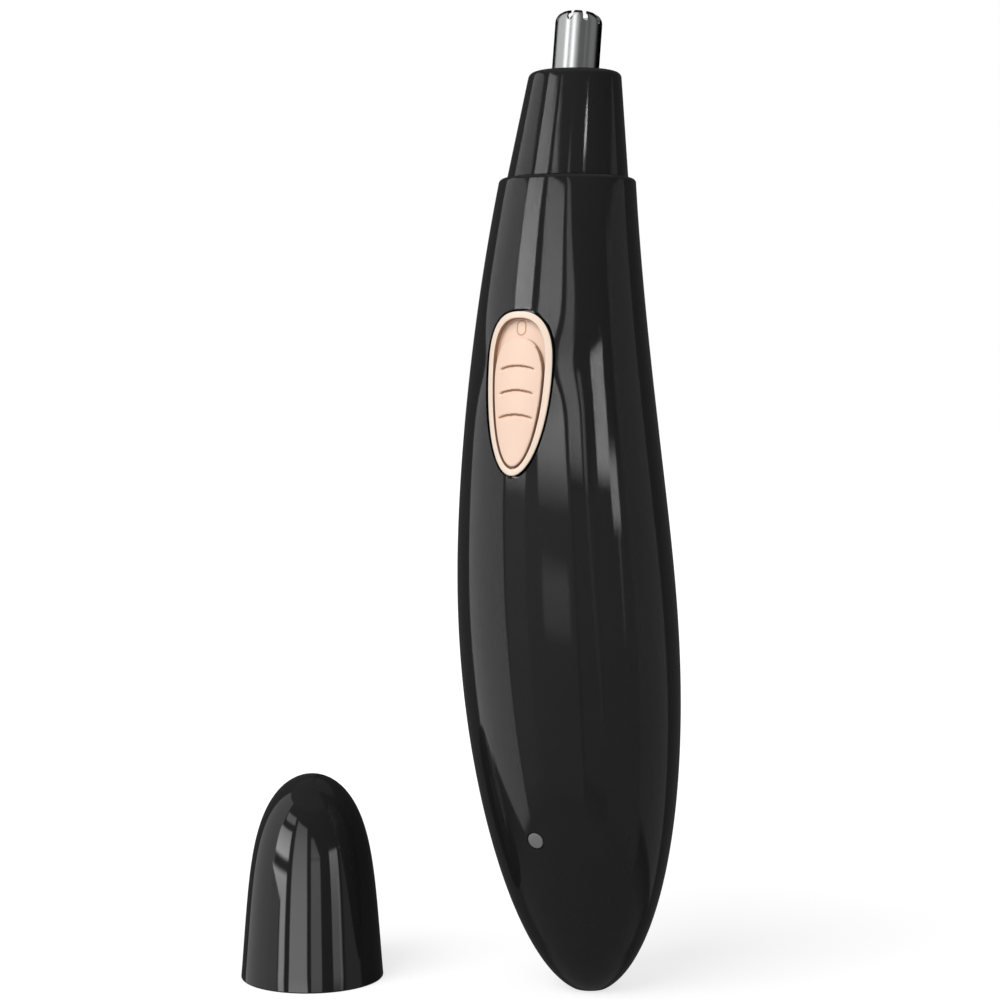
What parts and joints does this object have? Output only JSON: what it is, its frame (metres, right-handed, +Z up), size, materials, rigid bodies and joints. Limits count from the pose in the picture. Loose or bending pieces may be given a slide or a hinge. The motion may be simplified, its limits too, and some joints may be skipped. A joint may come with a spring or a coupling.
{
  "type": "nose hair trimmer",
  "caption": "Slim curved hand trimmer with a slotted rotary cutter tube, a tapered collar, an egg-shaped slide switch, a charge light and a separate bullet-shaped cap.",
  "frame": {"origin": "on the body's spine at the widest point of the grip, where a hand holds it", "axes": "+Z up from the tail tip towards the cutter, -Y the way the switch faces, X across"},
  "size_m": [0.0654, 0.0362, 0.1412],
  "materials": {
    "gloss_black": "high gloss",
    "rose_gold": "satin metallic paint",
    "steel": "polished",
    "dark_plastic": "matte",
    "frame_plastic": "natural",
    "board": "solder mask",
    "led": "clear",
    "lens": "smoky",
    "contact": "plated",
    "cell_sleeve": "shrink sleeve",
    "lead": "insulation"
  },
  "bodies": {
    "handle": {"front_shell": "gloss_black", "rear_shell": "gloss_black", "switch_bezel": "rose_gold", "motor_can": "steel", "slide_switch": "steel", "battery_tabs": "steel", "charge_jack": "dark_plastic", "motor_end_cap": "dark_plastic", "battery_frame": "frame_plastic", "motor_frame": "frame_plastic", "switch_board": "board", "charge_board": "board", "charge_led": "led", "indicator_lens": "lens", "jack_pin": "contact", "motor_terminals": "contact", "battery_cell": "cell_sleeve", "motor_leads": "lead", "power_leads": "lead", "jack_leads": "lead"},
    "rotor": {"motor_shaft": "steel", "drive_coupler": "dark_plastic"},
    "cutter_head": {"head_collar": "gloss_black", "cutter_tube": "steel", "stem_bush": "dark_plastic"},
    "blade": {"cutter_blade": "steel", "blade_stem": "frame_plastic", "blade_spring": "steel"},
    "switch": {"switch_slider": "rose_gold", "switch_lever": "dark_plastic"},
    "cap": {"cap": "gloss_black"}
  },
  "joints": [
    {"name": "motor_spin", "type": "hinge", "parent": "handle", "child": "rotor", "pos_m": [0, -0.00071, 0.066], "axis": [0, 0.1461, 0.9893], "continuous": true},
    {"name": "head_pull", "type": "slide", "parent": "handle", "child": "cutter_head", "axis": [0, 0.1461, 0.9893], "range_m": [0, 0.03]},
    {"name": "blade_spin", "type": "hinge", "parent": "cutter_head", "child": "blade", "pos_m": [0, -0.00071, 0.066], "axis": [0, 0.1461, 0.9893], "continuous": true},
    {"name": "switch_slide", "type": "slide", "parent": "handle", "child": "switch", "axis": [0, 0.0966, 0.9953], "range_m": [0, 0.0024]},
    {"name": "cap_lift", "type": "slide", "parent": "handle", "child": "cap", "axis": [0, 0, 1], "range_m": [0, 0.06]}
  ],
  "couplings": [
    {"joint": "blade_spin", "follows": "motor_spin", "ratio": 1}
  ]
}
